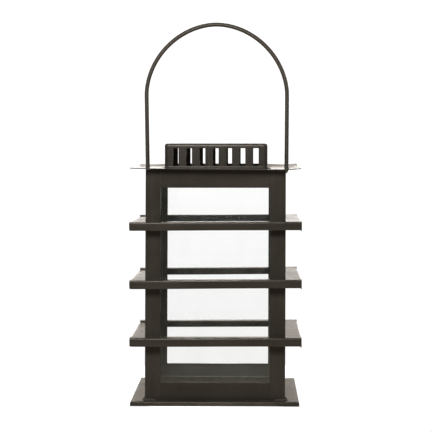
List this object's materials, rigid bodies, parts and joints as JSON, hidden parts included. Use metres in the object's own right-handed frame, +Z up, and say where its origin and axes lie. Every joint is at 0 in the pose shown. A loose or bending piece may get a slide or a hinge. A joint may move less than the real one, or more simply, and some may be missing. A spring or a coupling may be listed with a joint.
{
  "type": "candle lantern",
  "caption": "Square black steel candle lantern with glazed sides, overhanging shelf rings, a lift-up roof with a slotted square chimney, and an arched wire bail.",
  "frame": {"origin": "middle of the base, on the surface that the lantern stands on", "axes": "+Z up; the front is towards -Y; the bail's plane is XZ, with its feet on +X and -X"},
  "size_m": [0.1724, 0.1724, 0.3904],
  "materials": {
    "frame_paint": "satin, warm near-black",
    "shelf_paint": "satin, warm near-black",
    "base_paint": "satin, warm near-black",
    "weld_paint": "satin, rough bead",
    "inner_tab_paint": "satin, warm near-black",
    "roof_paint": "satin, warm near-black",
    "chimney_paint": "satin, warm near-black",
    "wire_paint": "satin, warm near-black",
    "pane_glass": "clear float glass with a faint green edge"
  },
  "bodies": {
    "frame": {"base_plate": "base_paint", "base_welds": "weld_paint", "corner_post_front_left": "frame_paint", "corner_post_front_right": "frame_paint", "corner_post_back_right": "frame_paint", "corner_post_back_left": "frame_paint", "bottom_rail_front": "frame_paint", "top_rail_front": "frame_paint", "glass_pane_front": "pane_glass", "glass_ledge_front": "inner_tab_paint", "glass_clips_front": "inner_tab_paint", "bottom_rail_right": "frame_paint", "top_rail_right": "frame_paint", "glass_pane_right": "pane_glass", "glass_ledge_right": "inner_tab_paint", "glass_clips_right": "inner_tab_paint", "bottom_rail_back": "frame_paint", "top_rail_back": "frame_paint", "glass_pane_back": "pane_glass", "glass_ledge_back": "inner_tab_paint", "glass_clips_back": "inner_tab_paint", "bottom_rail_left": "frame_paint", "top_rail_left": "frame_paint", "glass_pane_left": "pane_glass", "glass_ledge_left": "inner_tab_paint", "glass_clips_left": "inner_tab_paint", "lower_shelf_front": "shelf_paint", "lower_shelf_back": "shelf_paint", "lower_shelf_right": "shelf_paint", "lower_shelf_left": "shelf_paint", "middle_shelf_front": "shelf_paint", "middle_shelf_back": "shelf_paint", "middle_shelf_right": "shelf_paint", "middle_shelf_left": "shelf_paint", "upper_shelf_front": "shelf_paint", "upper_shelf_back": "shelf_paint", "upper_shelf_right": "shelf_paint", "upper_shelf_left": "shelf_paint"},
    "roof": {"roof_plate": "roof_paint", "chimney": "chimney_paint"},
    "bail": {"bail_handle": "wire_paint"}
  },
  "joints": [
    {"name": "roof_lift", "type": "slide", "parent": "frame", "child": "roof", "axis": [0, 0, 1], "range_m": [0, 0.07]},
    {"name": "bail_swing", "type": "hinge", "parent": "frame", "child": "bail", "pos_m": [0, 0, 0.2335], "axis": [1, 0, 0], "range_deg": [-8, 8]}
  ]
}
